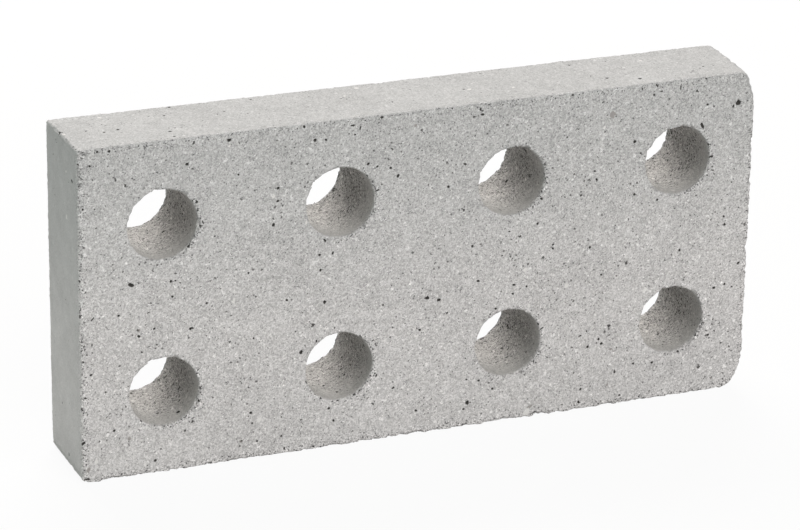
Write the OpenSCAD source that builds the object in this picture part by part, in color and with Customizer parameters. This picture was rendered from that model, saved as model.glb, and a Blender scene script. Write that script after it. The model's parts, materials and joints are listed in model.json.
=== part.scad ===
// Perforated refractory brick slip, one fired block standing on its long edge.
// X runs along the length, Y through the thickness with the front face towards -Y, and Z up.
// The origin is the middle of the bottom edge face.

/* [Slab] */
// Length, end to end
slip_length = 220; // [160:1:300]
// Height, bottom edge to top edge
slip_height = 105; // [90:1:150]
// Thickness, front face to back face
slip_thickness = 30; // [15:1:60]

/* [Edges] */
// Rounding of the arrises all round the front and back faces
arris_r = 1; // [0.4:0.1:1.8]
// Rounding of the upper left corner, seen from the front
upper_left_r = 2; // [2:0.5:20]
// Rounding of the lower left corner
lower_left_r = 3; // [2:0.5:20]
// Rounding of the upper right corner, worn by handling
upper_right_r = 4; // [2:0.5:20]
// Rounding of the lower right corner, worn the most
lower_right_r = 8; // [2:0.5:20]

/* [Holes] */
// Diameter of each through hole
hole_d = 22; // [12:0.5:28]
// Holes along the length
hole_columns = 4; // [2:1:6]
// Rows of holes up the height
hole_rows = 2; // [2:1:3]
// From every edge of the slab to the axes of the nearest holes
hole_margin = 26; // [18:0.5:34]
// Bevel at both mouths of each hole
mouth_bevel = 0.6; // [0.2:0.1:2]

/* [Hidden] */
// Distance that every cut runs on past the face it leaves
overrun = 1;
// Spacing of the hole axes along the length and up the height
column_pitch = (slip_length - 2 * hole_margin) / (hole_columns - 1);
row_pitch = (slip_height - 2 * hole_margin) / (hole_rows - 1);
$fn = 96;

// Section from the slab's inside out to an edge, with the arris of both faces rounded.
// It lies in the first quadrant's X and is centred on the thickness in Y.
module edge_section(depth) {
    flat_edge = slip_thickness - 2 * arris_r;
    inner = depth - arris_r;
    if (inner > 0)
        translate([0, -slip_thickness / 2])
            square([inner, slip_thickness]);
    translate([inner, -flat_edge / 2])
        square([arris_r, flat_edge]);
    intersection() {
        translate([inner, -slip_thickness / 2])
            square([arris_r, slip_thickness]);
        for (side = [-1, 1])
            translate([inner, side * flat_edge / 2])
                circle(r = arris_r);
    }
}

// Quarter turn of the edge section about the centre of a rounded corner.
// At turn 0 it fills the corner between +X and +Y.
module corner(centre, radius, turn) {
    translate(centre)
        rotate(turn)
            rotate_extrude(angle = 90)
                edge_section(radius);
}

// Straight run of the edge section from one point to another, with its outer face on the right hand.
module edge_run(from, to) {
    way = to - from;
    translate(from)
        rotate(atan2(way.y, way.x))
            rotate([90, 0, 90])
                linear_extrude(norm(way))
                    rotate(180)
                        edge_section(arris_r);
}

// The slab lying on its back: length along X, height along Y, centred on its thickness.
// It is a flat core that fills in behind four corners and four straight edges.
module flat_slab() {
    left = -slip_length / 2;
    right = slip_length / 2;
    corner([left + upper_left_r, slip_height - upper_left_r], upper_left_r, 90);
    corner([left + lower_left_r, lower_left_r], lower_left_r, 180);
    corner([right - lower_right_r, lower_right_r], lower_right_r, 270);
    corner([right - upper_right_r, slip_height - upper_right_r], upper_right_r, 0);
    edge_run([left + lower_left_r, arris_r], [right - lower_right_r, arris_r]);
    edge_run([right - arris_r, lower_right_r], [right - arris_r, slip_height - upper_right_r]);
    edge_run([right - upper_right_r, slip_height - arris_r], [left + upper_left_r, slip_height - arris_r]);
    edge_run([left + arris_r, slip_height - upper_left_r], [left + arris_r, lower_left_r]);
    translate([0, 0, -slip_thickness / 2])
        linear_extrude(slip_thickness)
            polygon([
                [left + arris_r, lower_left_r],
                [left + lower_left_r, lower_left_r],
                [left + lower_left_r, arris_r],
                [right - lower_right_r, arris_r],
                [right - lower_right_r, lower_right_r],
                [right - arris_r, lower_right_r],
                [right - arris_r, slip_height - upper_right_r],
                [right - upper_right_r, slip_height - upper_right_r],
                [right - upper_right_r, slip_height - arris_r],
                [left + upper_left_r, slip_height - arris_r],
                [left + upper_left_r, slip_height - upper_left_r],
                [left + arris_r, slip_height - upper_left_r],
            ]);
}

// What one hole takes away: a round bore through the thickness, bevelled at both mouths.
module hole_cut() {
    cylinder(d = hole_d, h = slip_thickness + 2 * overrun, center = true);
    for (face = [0, 1])
        mirror([0, 0, face])
            translate([0, 0, slip_thickness / 2 - mouth_bevel])
                cylinder(
                    r1 = hole_d / 2,
                    r2 = hole_d / 2 + mouth_bevel + overrun,
                    h = mouth_bevel + overrun
                );
}

// Places its children at every hole of the grid.
module at_holes() {
    for (column = [0:hole_columns - 1], row = [0:hole_rows - 1])
        translate([
            hole_margin + column * column_pitch - slip_length / 2,
            hole_margin + row * row_pitch
        ])
            children();
}

module brick_slip() {
    color("silver")
        rotate([90, 0, 0])
            difference() {
                flat_slab();
                at_holes()
                    hole_cut();
            }
}

brick_slip();
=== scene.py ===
"""Dresses the refractory brick slip and sets it up for its picture.

The slip is one fired block of grey, sandy refractory with round holes through it. Its mesh is made in
millimetres: a sheet of rings round the holes is thickened to a slab, refined where detail goes, and worn.
"""

import json
import logging
import math
import random
from dataclasses import dataclass, field
from enum import Enum
from typing import Iterable, Union

import bmesh
import bpy
from mathutils import Matrix, Vector, noise
from mathutils.kdtree import KDTree


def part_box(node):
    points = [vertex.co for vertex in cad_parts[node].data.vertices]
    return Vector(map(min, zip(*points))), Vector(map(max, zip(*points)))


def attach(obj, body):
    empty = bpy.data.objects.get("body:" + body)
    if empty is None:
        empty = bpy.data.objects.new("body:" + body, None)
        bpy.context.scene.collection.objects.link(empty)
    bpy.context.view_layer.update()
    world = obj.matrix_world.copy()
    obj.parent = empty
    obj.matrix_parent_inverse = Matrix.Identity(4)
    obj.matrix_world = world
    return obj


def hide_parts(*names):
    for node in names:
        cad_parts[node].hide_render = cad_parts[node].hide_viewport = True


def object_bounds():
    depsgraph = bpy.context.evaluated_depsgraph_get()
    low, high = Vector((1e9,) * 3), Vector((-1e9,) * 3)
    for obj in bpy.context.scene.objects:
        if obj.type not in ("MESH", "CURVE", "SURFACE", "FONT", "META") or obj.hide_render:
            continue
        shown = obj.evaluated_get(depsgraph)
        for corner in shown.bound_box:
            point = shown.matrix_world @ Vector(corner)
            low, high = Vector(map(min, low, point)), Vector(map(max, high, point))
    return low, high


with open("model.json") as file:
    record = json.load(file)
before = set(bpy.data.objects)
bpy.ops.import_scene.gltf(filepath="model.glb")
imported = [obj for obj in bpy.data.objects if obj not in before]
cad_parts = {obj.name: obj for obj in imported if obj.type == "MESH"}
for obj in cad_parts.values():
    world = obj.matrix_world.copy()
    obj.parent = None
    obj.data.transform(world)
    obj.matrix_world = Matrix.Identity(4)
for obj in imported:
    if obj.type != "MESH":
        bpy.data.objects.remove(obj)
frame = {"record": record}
CAD_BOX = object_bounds()

MM = 0.001
NODE = "brick_slip"
# Seed of every draw, and the step from one noise field to the next
SEED = 220105
SEED_STEP = Vector((17.3, 5.1, 11.7))
# Distance at which points count as one, and the reading above which a point lies wholly on a wall
WELD = 1e-4
WHOLE = 0.999
QUARTER_TURN = 90.0
LENGTHWISE = Vector((1.0, 0.0, 0.0))
THROUGH = Vector((0.0, 1.0, 0.0))
UPRIGHT = Vector((0.0, 0.0, 1.0))

log = logging.getLogger("brick_slip")

Socket = bpy.types.NodeSocket
Value = Union[float, Socket]
Colour = tuple[float, float, float, float]
# Low and high reading, then first and last result, as NodeDesk.span takes them
Span = tuple[float, float, float, float]


class Side(Enum):
    """Sides of the slab's outline, seen from the front."""

    LEFT = "left"
    RIGHT = "right"
    BOTTOM = "bottom"
    TOP = "top"


class Face(Enum):
    """The two large faces, by the sign of their Y."""

    FRONT = -1.0
    BACK = 1.0


class MarkKind(Enum):
    """What a mark in the surface is, by the mesh value that it sets."""

    # A pore's value masks the painted shade in it
    PORE = "cavity"
    DENT = "wear"
    DARK_STONE = "stone"
    PALE_GRAIN = "pale"


OUTWARD = {
    Side.LEFT: Vector((-1.0, 0.0, 0.0)),
    Side.RIGHT: Vector((1.0, 0.0, 0.0)),
    Side.BOTTOM: Vector((0.0, 0.0, -1.0)),
    Side.TOP: Vector((0.0, 0.0, 1.0)),
}


@dataclass(frozen=True)
class Lump:
    """Smooth seeded noise.

    Attributes:
        height: how far it reaches either way.
        size: width of one lump in millimetres.
        seed: picks one noise field among many.
    """

    height: float
    size: float
    seed: int

    def at(self, point: Vector) -> float:
        """Gives the noise's value at a point in millimetres."""
        return self.height * noise.noise(point / self.size + self.seed * SEED_STEP)


# How the rounding of the arrises sways, crumbles and chips, and the least share of it that is left
ARRIS_SWAY = Lump(0.5, 7.0, 11)
ARRIS_CRUMBS = Lump(1.4, 1.5, 12)
ARRIS_CHIPS = Lump(4.0, 8.0, 13)
CHIP_LEVEL = 1.5
LEAST_ROUNDING_SHARE = 0.3
# Rough lip along an arris
BURR = Lump(1.6, 3.0, 14)
# Relief of the faces and the bores, of worn edges and corners, and of the edges of marks
SWELL = Lump(0.12, 30.0, 21)
RIPPLE = Lump(0.05, 6.0, 22)
BORE_RIPPLE = Lump(0.16, 2.2, 23)
CRUMBS = Lump(0.20, 1.5, 24)
GRIT = Lump(0.14, 0.8, 25)
MARK_EDGE = Lump(0.55, 0.7, 26)
CORNER_CHIPS = Lump(1.0, 2.6, 27)
# Grit at the middle of a worn corner, and how fast the grit comes in as an edge is worn
CORNER_GRIT_SHARE = 0.3
GRIT_RISE = 3.0
# Power of the curve of a plain ellipse, and the mesh's spacing at a corner
ELLIPSE_POWER = 2.0
CORNER_SPACING = 0.3
CORNER_SPACING_SHARE = 0.05
# How far round a mark its uneven edge may lie, as a share of its reach, and how round its bottom is
MARK_SEARCH_SHARE = 1.8
SINK_POWER = 0.7


@dataclass(frozen=True)
class EdgeWear:
    """How one arris or rim has worn, in millimetres.

    Attributes:
        radius: rounding where the arris is whole.
        crumble: further rounding where grains have broken out.
        burr: height of the rough lip that stands proud of the face.
    """

    radius: float
    crumble: float
    burr: float = 0.0

    def rounding(self, foot: Vector, share: float = 1.0) -> float:
        """Gives the rounding at a point of the arris, with its crumbs and chips.

        Args:
            foot: the point of the sharp arris.
            share: how much of the crumbling there is here.

        Returns:
            The radius in millimetres.
        """
        crumbs = max(ARRIS_CRUMBS.at(foot), 0.0)
        chips = max(ARRIS_CHIPS.at(foot) - CHIP_LEVEL, 0.0)
        whole = self.radius * (1.0 + ARRIS_SWAY.at(foot))
        return max(share * (whole + self.crumble * (crumbs + chips)), LEAST_ROUNDING_SHARE * self.radius)


@dataclass(frozen=True)
class CornerArc:
    """Worn corner of the outline: a quarter ellipse at the front, which may be fuller at the back.

    Attributes:
        centre: centre of the ellipse in X and Z.
        reach: its half axes, signed towards the corner.
        chips: how deep its chips go, and how much of the arrises' crumbling there is.
        back_power: power of the curve at the back, 2 for the same ellipse and more for a sharper corner.
        soft: further rounding of the front arris at the corner.
    """

    centre: tuple[float, float]
    reach: tuple[float, float]
    chips: float
    back_power: float
    soft: float

    def shares(self, x: float, z: float) -> tuple[float, float]:
        """Gives a point's place from the centre, as shares of the half axes."""
        return (x - self.centre[0]) / self.reach[0], (z - self.centre[1]) / self.reach[1]

    def holds(self, x: float, z: float) -> bool:
        """Tells whether a point lies between the centre and the corner."""
        return min(self.shares(x, z)) > 0.0

    def spacing(self, x: float, z: float, growth: float) -> float:
        """Gives the spacing that the mesh needs for this corner.

        Args:
            x: place along the length.
            z: place up the height.
            growth: how fast the spacing grows away from the corner.

        Returns:
            The longest edge wanted there, in millimetres.
        """
        across, up = self.shares(x, z)
        away = max(-across * abs(self.reach[0]), -up * abs(self.reach[1]), 0.0)
        return CORNER_SPACING + CORNER_SPACING_SHARE * max(map(abs, self.reach)) + growth * away

    def power(self, depth: float) -> float:
        """Gives the curve's power at a share of the way from the front to the back."""
        return ELLIPSE_POWER + (self.back_power - ELLIPSE_POWER) * depth

    def settle(self, x: float, z: float, depth: float) -> tuple[float, float]:
        """Moves a point straight out from the centre, or in, to the curve.

        Args:
            x: place along the length.
            z: place up the height.
            depth: share of the way from the front to the back.

        Returns:
            The curve's point in X and Z.
        """
        across, up = self.shares(x, z)
        power = self.power(depth)
        far = (across**power + up**power) ** (1.0 / power)
        return self.centre[0] + self.reach[0] * across / far, self.centre[1] + self.reach[1] * up / far

    def inset(self, x: float, z: float, depth: float) -> tuple[float, Vector]:
        """Measures how far inside the curve a point lies.

        Args:
            x: place along the length.
            z: place up the height.
            depth: share of the way from the front to the back.

        Returns:
            The distance, and the outward direction there.
        """
        across, up = self.shares(x, z)
        power = self.power(depth)
        far = (across**power + up**power) ** (1.0 / power)
        slope_x = across ** (power - 1.0) / self.reach[0]
        slope_z = up ** (power - 1.0) / self.reach[1]
        slope = math.hypot(slope_x, slope_z)
        return (1.0 - far) * far ** (power - 1.0) / slope, Vector((slope_x / slope, 0.0, slope_z / slope))


@dataclass(frozen=True)
class SlabOutline:
    """The slab's outline seen from the front, in millimetres.

    Attributes:
        spans: where each side lies.
        arcs: the worn corners.
        half: half the slab's thickness.
    """

    spans: dict[Side, float]
    arcs: tuple[CornerArc, ...]
    half: float

    def depth(self, y: float) -> float:
        """Gives the share of the way from the front to the back."""
        return min(max((y + self.half) / (2.0 * self.half), 0.0), 1.0)

    def distances(self, x: float, z: float) -> dict[Side, float]:
        """Gives the distance in from each side, corners left aside."""
        return {
            Side.LEFT: x - self.spans[Side.LEFT],
            Side.RIGHT: self.spans[Side.RIGHT] - x,
            Side.BOTTOM: z - self.spans[Side.BOTTOM],
            Side.TOP: self.spans[Side.TOP] - z,
        }

    def corner_at(self, x: float, z: float) -> tuple[float, CornerArc]:
        """Finds the worn corner that a point lies at.

        Args:
            x: place along the length.
            z: place up the height.

        Returns:
            How far round the corner the point lies, 0 outside it and 1 at its middle, and the corner.
        """
        arc = max(self.arcs, key=lambda arc: min(arc.shares(x, z)))
        share = math.sqrt(2.0) * min(arc.shares(x, z))
        return min(max(share, 0.0), 1.0), arc

    def settle(self, place: Vector) -> tuple[float, float]:
        """Moves a point of the sharp outline onto the worn corner that holds it, in X and Z."""
        for arc in self.arcs:
            if arc.holds(place.x, place.z):
                return arc.settle(place.x, place.z, self.depth(place.y))
        return place.x, place.z

    def inset(self, place: Vector) -> tuple[float, Vector]:
        """Measures how far inside the outline a point lies.

        Args:
            place: the point, whose depth picks the corners' curve.

        Returns:
            The distance, and the outward direction there.
        """
        for arc in self.arcs:
            if arc.holds(place.x, place.z):
                return arc.inset(place.x, place.z, self.depth(place.y))
        side, distance = min(self.distances(place.x, place.z).items(), key=lambda item: item[1])
        return distance, OUTWARD[side]


@dataclass(frozen=True)
class HoleCell:
    """One hole and the rectangle of slab round it, in millimetres.

    Attributes:
        x: hole axis along the length.
        z: hole axis up the height.
        radius: radius of the bore.
        across: where the rectangle begins and ends along the length.
        up: where it begins and ends up the height.
    """

    x: float
    z: float
    radius: float
    across: tuple[float, float]
    up: tuple[float, float]

    def gap(self, x: float, z: float) -> float:
        """Gives the distance from the bore's wall out into the slab."""
        return math.hypot(x - self.x, z - self.z) - self.radius

    def border(self, x: float, z: float) -> tuple[float, float]:
        """Matches a point of the hole's rim with a point of the rectangle.

        Each quarter of the rim goes to one side, in even steps, so that neighbouring cells meet.

        Args:
            x: a rim point along the length.
            z: the rim point up the height.

        Returns:
            The rectangle's point in X and Z.
        """
        turn = (math.degrees(math.atan2(z - self.z, x - self.x)) + QUARTER_TURN / 2) % (4 * QUARTER_TURN)
        side, share = divmod(round(turn, 4) / QUARTER_TURN, 1.0)
        low_x, high_x = self.across
        low_z, high_z = self.up
        if side == 0:
            return high_x, low_z + share * (high_z - low_z)
        if side == 1:
            return high_x - share * (high_x - low_x), high_z
        if side == 2:
            return low_x, high_z - share * (high_z - low_z)
        return low_x + share * (high_x - low_x), low_z


@dataclass(frozen=True)
class Mark:
    """A pore, a dent or a large grain in the surface, in millimetres.

    Attributes:
        place: the middle of it.
        radius: half its shorter width.
        depth: how far it goes in, or stands proud where below zero.
        along: direction of its longer width.
        stretch: how much longer it is that way.
        kind: what it is.
    """

    place: Vector
    radius: float
    depth: float
    along: Vector
    stretch: float
    kind: MarkKind

    @property
    def reach(self) -> float:
        """Half the longer width."""
        return self.radius * self.stretch

    def share(self, point: Vector) -> float:
        """Gives a point's distance from the middle, as a share of the way to the uneven edge."""
        away = point - self.place
        length = away.dot(self.along)
        across = (away - length * self.along).length
        return math.hypot(length / self.reach, across / self.radius) / (1.0 + MARK_EDGE.at(point))


@dataclass(frozen=True)
class FrontMark:
    """A mark of the front face, in millimetres from the slab's left end and bottom edge.

    Attributes:
        from_left: place along the length.
        from_bottom: place up the height.
        radius: half its shorter width.
        stretch: how much longer it is one way.
        tilt: that way, in degrees up from level.
    """

    from_left: float
    from_bottom: float
    radius: float
    stretch: float = 1.0
    tilt: float = 0.0


def front_marks(*rows: tuple[float, ...]) -> tuple[FrontMark, ...]:
    """Makes marks of the front face from rows of their values, in the order of FrontMark's fields.

    Args:
        rows: one row for each mark.

    Returns:
        The marks.
    """
    return tuple(FrontMark(*row) for row in rows)


def face_way(turn: float) -> Vector:
    """Gives a direction in the plane of the large faces, by its angle up from the length in radians."""
    return Vector((math.cos(turn), 0.0, math.sin(turn)))


@dataclass(frozen=True)
class MarkRange:
    """The range from which one sort of seeded mark is drawn.

    Attributes:
        radius: least and greatest half width, in millimetres.
        stretch: least and greatest stretch.
        depth_share: depth as a share of the half width.
        dent_from: half width from which it is a dent and not a dark pore.
    """

    radius: tuple[float, float]
    stretch: tuple[float, float]
    depth_share: float = 1.0
    dent_from: float = math.inf

    def draw(self, dice: random.Random, place: Vector, along: Vector) -> Mark:
        """Draws one mark.

        Args:
            dice: the source of the seeded draws.
            place: the middle of it.
            along: direction of its longer width.

        Returns:
            The mark.
        """
        radius = dice.uniform(*self.radius)
        kind = MarkKind.PORE if radius < self.dent_from else MarkKind.DENT
        return Mark(place, radius, self.depth_share * radius, along, dice.uniform(*self.stretch), kind)


# Open pores of the front face
FRONT_PORES = front_marks(
    (214.2, 95.6, 0.80, 1.3, 15.0), (202.0, 89.5, 0.42, 2.8, -65.0), (206.2, 74.3, 0.20, 4.0, -15.0),
    (194.0, 102.6, 0.25, 3.0, 90.0), (187.5, 102.2, 0.25, 2.0), (179.0, 86.9, 0.45, 1.2),
    (179.5, 69.6, 0.38), (196.0, 49.0, 0.38, 1.3, 60.0), (208.7, 34.7, 0.40, 1.3), (207.5, 18.9, 0.40),
    (197.1, 14.6, 0.40), (205.1, 0.3, 0.22, 3.5, 4.0), (211.7, 0.2, 0.22, 4.0, 4.0), (169.0, 22.7, 0.42),
    (165.0, 54.0, 0.42), (147.0, 64.0, 0.40), (148.0, 72.0, 0.40, 1.5, -50.0),
    (147.8, 1.1, 0.35, 2.0, 10.0), (143.8, 43.8, 0.38), (139.6, 44.9, 0.35, 1.7),
    (137.3, 62.6, 0.30, 2.0), (133.0, 11.2, 0.40), (127.0, 103.2, 0.30, 1.5, 80.0),
    (127.7, 101.5, 0.34, 1.6, -15.0), (125.0, 101.0, 0.25, 3.0), (125.3, 59.5, 0.35, 1.5, 60.0),
    (124.8, 7.8, 0.66, 1.2, 90.0), (114.4, 43.3, 0.50, 1.4, 25.0), (110.5, 44.5, 0.55, 1.5),
    (99.8, 16.4, 0.35, 1.4, 40.0), (98.0, 88.0, 0.36), (100.5, 85.2, 0.42, 1.5, 70.0),
    (95.0, 104.4, 0.40, 1.8), (94.2, 21.3, 0.25, 2.5, 65.0), (85.7, 102.9, 0.25, 3.0), (86.5, 99.9, 0.35),
    (88.1, 101.8, 0.22, 3.0, 70.0), (80.2, 8.5, 0.40), (77.2, 47.7, 0.50), (77.0, 67.6, 0.28, 2.2, -55.0),
    (74.6, 35.4, 0.35, 1.4, 80.0), (73.7, 99.7, 0.40, 1.6, 90.0), (70.2, 104.2, 0.45),
    (69.5, 32.3, 0.48, 1.7, 75.0), (62.1, 86.0, 0.40, 1.5, 50.0), (60.6, 74.6, 0.50),
    (46.7, 102.9, 0.48, 1.4), (38.4, 78.4, 0.22, 3.0, -65.0), (36.6, 84.9, 0.25, 2.5, -50.0),
    (36.8, 21.5, 0.30, 2.0, -50.0), (33.7, 97.0, 0.36, 1.8, 25.0), (28.3, 60.9, 0.48),
    (18.3, 44.8, 0.40, 1.5, -30.0), (16.0, 61.4, 0.55, 1.8, -20.0), (6.0, 0.2, 0.40),
    (4.1, 52.3, 0.20, 4.0, 48.0), (3.3, 34.6, 0.36, 1.5, 40.0), (1.6, 1.2, 0.25, 5.5, -10.0),
    (0.3, 12.9, 0.60, 1.4, 35.0),
)
# Large grains that are darker or paler than the body
DARK_STONES = front_marks(
    (171.0, 96.5, 1.10), (218.5, 30.2, 0.55), (209.2, 3.7, 0.42), (173.3, 18.8, 0.50),
    (172.5, 6.9, 0.50, 1.2, 60.0), (146.0, 3.4, 0.50, 2.0, 20.0), (105.8, 100.5, 0.45, 1.4, 30.0),
    (50.2, 6.1, 0.60, 1.2), (18.2, 46.7, 0.50), (14.9, 12.4, 0.55), (2.0, 4.2, 0.60, 1.4, 60.0),
)
PALE_GRAINS = front_marks(
    (195.3, 13.6, 0.55), (192.7, 42.2, 0.40), (184.5, 37.4, 0.75, 1.2, 20.0),
    (182.0, 21.5, 0.65, 1.3, -20.0), (168.5, 92.7, 0.50), (159.3, 17.6, 0.45, 1.5, 20.0),
    (157.4, 42.3, 0.75, 1.3, 70.0), (144.7, 37.4, 0.60, 1.3, -40.0), (144.8, 1.4, 1.10, 1.5, 60.0),
    (143.2, 49.5, 0.75, 1.3, 60.0), (71.0, 74.0, 0.40, 1.5, 70.0), (60.7, 83.5, 0.40, 1.6, 40.0),
    (56.2, 12.4, 0.85, 1.2, 60.0), (48.0, 52.2, 0.50, 1.8, 85.0), (46.8, 101.0, 0.45), (4.5, 6.5, 0.60),
)
# Places where an arris of the front has broken
ARRIS_DENTS = front_marks(
    (1.6, 103.0, 1.2, 1.6, 15.0), (0.4, 97.5, 0.9, 1.8, 85.0), (0.4, 72.0, 0.8, 1.6, 85.0),
    (0.4, 47.0, 0.8, 1.8, 85.0), (9.5, 0.0, 1.0, 3.0), (20.5, 0.0, 0.8, 2.0), (89.6, 0.0, 1.0, 2.0),
    (107.5, 0.0, 1.1, 2.5), (133.0, 0.0, 0.7, 3.0), (149.0, 0.0, 1.2, 3.0), (172.0, 0.0, 0.8, 2.5),
    (219.8, 37.0, 0.7, 2.0, 90.0), (219.8, 54.0, 0.8, 1.5, 90.0), (219.8, 81.5, 1.1, 1.6, 90.0),
)
FRONT_MARKS = {
    MarkKind.PORE: FRONT_PORES,
    MarkKind.DENT: ARRIS_DENTS,
    MarkKind.DARK_STONE: DARK_STONES,
    MarkKind.PALE_GRAIN: PALE_GRAINS,
}
# Depth of each sort of mark as a share of its half width, below zero where it stands proud
DEPTH_SHARES = {
    MarkKind.PORE: 1.2,
    MarkKind.DENT: 0.8,
    MarkKind.DARK_STONE: -0.05,
    MarkKind.PALE_GRAIN: -0.08,
}
# Small pores of the front face: millimetres from the left end and from the bottom edge
SMALL_PORES = (
    (0.2, 64.5), (0.2, 93.0), (0.3, 55.7), (0.3, 100.7), (0.9, 39.0), (1.3, 27.4), (1.6, 86.8),
    (4.0, 99.8), (6.3, 103.9), (7.7, 28.5), (10.0, 103.7), (10.2, 15.7), (12.1, 52.2), (19.1, 39.6),
    (23.0, 4.0), (23.1, 46.6), (28.8, 56.0), (29.8, 61.0), (34.3, 45.0), (39.6, 52.5), (49.6, 91.7),
    (52.7, 60.3), (53.5, 15.0), (54.0, 11.5), (54.3, 39.2), (55.5, 5.3), (62.0, 81.9), (63.3, 5.8),
    (64.2, 1.7), (65.0, 50.0), (75.4, 63.1), (75.7, 58.2), (77.2, 99.3), (78.7, 12.7), (79.6, 63.2),
    (90.7, 90.2), (93.7, 89.0), (96.1, 44.2), (107.5, 7.6), (108.3, 34.3), (117.0, 79.7), (117.4, 38.7),
    (123.5, 5.8), (123.8, 22.7), (124.2, 15.6), (127.5, 47.8), (128.3, 14.6), (133.6, 37.8),
    (139.3, 42.0), (141.2, 60.6), (152.4, 55.2), (152.4, 56.5), (156.0, 91.0), (157.5, 104.3),
    (162.8, 2.3), (163.4, 6.6), (164.8, 26.1), (165.3, 20.7), (165.7, 78.9), (166.4, 76.1), (169.1, 44.4),
    (170.0, 21.2), (175.0, 10.8), (177.0, 2.6), (181.2, 82.8), (181.4, 12.8), (185.0, 101.3),
    (187.4, 66.8), (188.0, 12.2), (199.6, 101.0), (203.5, 96.2), (211.0, 58.4), (211.5, 55.6),
    (212.4, 35.4), (212.5, 94.6), (215.1, 34.2), (217.0, 42.0),
)
# Pores of the top: millimetres from the left end and from the front face, and half their width
TOP_PORES = (
    (0.5, 17.5, 0.75), (0.2, 4.5, 0.50), (0.2, 2.0, 0.45), (8.0, 16.0, 0.35), (31.0, 7.5, 0.45),
    (173.5, 10.0, 0.45), (201.5, 7.0, 0.45),
)
TOP_PORE_STRETCH = 1.4
# Ranges of the small pores, of tears and bites at the rims, of bites in the arrises and of pits in the bores
SMALL_PORE = MarkRange((0.29, 0.40), (1.0, 1.4), DEPTH_SHARES[MarkKind.PORE])
TEAR = MarkRange((0.12, 0.24), (1.5, 5.0), 2.0)
RIM_BITE = MarkRange((0.3, 0.9), (1.0, 1.8), 1.0, 0.45)
ARRIS_BITE = MarkRange((0.3, 0.8), (1.0, 2.0), 0.8, 0.4)
BORE_PIT = MarkRange((0.25, 0.5), (1.0, 1.5))
# Strewn pores: the least half width, how much wider they get, how rare the wide ones are, and their ranges
STREWN_LEAST = 0.28
STREWN_SPREAD = 0.32
STREWN_RARITY = 2.5
STREWN_DEPTH = (0.7, 1.3)
STREWN_STRETCH = (1.0, 1.7)
# Pale grains strewn among them: how many of each handful, and their width and depth
HANDFUL = 5
PALE_IN_HANDFUL = 2
PALE_LEAST = 0.15
PALE_GROWTH = 1.1
PALE_DEPTH = -0.05


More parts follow.
